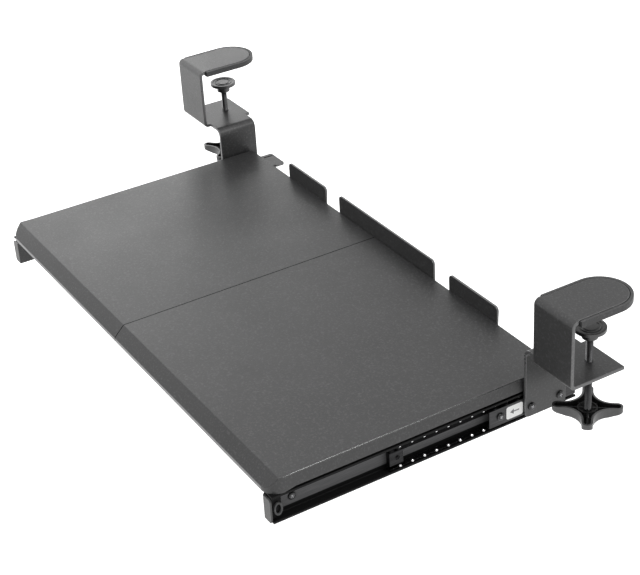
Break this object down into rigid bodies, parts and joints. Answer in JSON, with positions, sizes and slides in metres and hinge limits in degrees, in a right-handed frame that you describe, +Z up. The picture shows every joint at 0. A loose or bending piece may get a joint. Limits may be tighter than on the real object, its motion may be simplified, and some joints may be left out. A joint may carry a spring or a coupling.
{
  "type": "keyboard tray under desk",
  "caption": "Pull-out keyboard tray: a flat steel platform on ball slides, hung from a desk edge by two screw clamps with star knobs.",
  "frame": {"origin": "midway between the clamps, on the inner face of their front plates, level with the underside of the top pads: the top front edge of the desk", "axes": "+X to the user's right, +Y away from the user under the desk, +Z up"},
  "size_m": [0.6434, 0.3, 0.1277],
  "materials": {
    "powder_coat": "fine textured matte black powder coat",
    "black_steel": "black satin",
    "bright_steel": "polished",
    "pad_rubber": "matte",
    "black_plastic": "moulded, fine matte",
    "label": "matt white film"
  },
  "bodies": {
    "desk_brackets": {"left_clamp_bracket": "powder_coat", "right_clamp_bracket": "powder_coat", "left_top_pad": "pad_rubber", "right_top_pad": "pad_rubber", "left_clamp_nut": "powder_coat", "right_clamp_nut": "powder_coat", "left_carriage": "black_steel", "right_carriage": "black_steel", "left_carriage_screws": "black_steel", "right_carriage_screws": "black_steel", "left_side_label": "label", "right_side_label": "label"},
    "tray": {"tray_left_half": "powder_coat", "tray_right_half": "powder_coat", "front_joining_bar": "powder_coat", "rear_joining_bar": "powder_coat", "joining_screws": "black_steel", "left_tray_bracket": "powder_coat", "right_tray_bracket": "powder_coat", "left_tray_bracket_screws": "black_steel", "right_tray_bracket_screws": "black_steel", "left_outer_rail": "black_steel", "right_outer_rail": "black_steel", "left_rail_screws": "black_steel", "right_rail_screws": "black_steel", "left_front_bumper": "pad_rubber", "right_front_bumper": "pad_rubber"},
    "left_cage": {"left_ball_cage": "black_steel", "left_balls": "bright_steel"},
    "left_foot": {"left_pressure_foot": "black_plastic"},
    "left_screw": {"left_clamp_screw": "black_steel", "left_star_knob": "black_plastic"},
    "right_cage": {"right_ball_cage": "black_steel", "right_balls": "bright_steel"},
    "right_foot": {"right_pressure_foot": "black_plastic"},
    "right_screw": {"right_clamp_screw": "black_steel", "right_star_knob": "black_plastic"}
  },
  "joints": [
    {"name": "tray_slide", "type": "slide", "parent": "desk_brackets", "child": "tray", "axis": [0, 1, 0], "range_m": [0, 0.184]},
    {"name": "left_cage_slide", "type": "slide", "parent": "desk_brackets", "child": "left_cage", "axis": [0, 1, 0], "range_m": [0, 0.092]},
    {"name": "left_foot_slide", "type": "slide", "parent": "desk_brackets", "child": "left_foot", "axis": [0, 0, 1], "range_m": [-0.0196, 0.0196]},
    {"name": "left_screw_turn", "type": "hinge", "parent": "left_foot", "child": "left_screw", "pos_m": [-0.29675, 0.034, -0.06], "axis": [0, 0, 1], "range_deg": [-7020, 7020]},
    {"name": "right_cage_slide", "type": "slide", "parent": "desk_brackets", "child": "right_cage", "axis": [0, 1, 0], "range_m": [0, 0.092]},
    {"name": "right_foot_slide", "type": "slide", "parent": "desk_brackets", "child": "right_foot", "axis": [0, 0, 1], "range_m": [-0.0196, 0.0196]},
    {"name": "right_screw_turn", "type": "hinge", "parent": "right_foot", "child": "right_screw", "pos_m": [0.29675, 0.034, -0.06], "axis": [0, 0, 1], "range_deg": [-7020, 7020]}
  ],
  "couplings": [
    {"joint": "left_cage_slide", "follows": "tray_slide", "ratio": 0.5},
    {"joint": "left_foot_slide", "follows": "left_screw_turn", "m_per_rad": 0.00015915},
    {"joint": "right_cage_slide", "follows": "tray_slide", "ratio": 0.5},
    {"joint": "right_foot_slide", "follows": "right_screw_turn", "m_per_rad": 0.00015915}
  ]
}
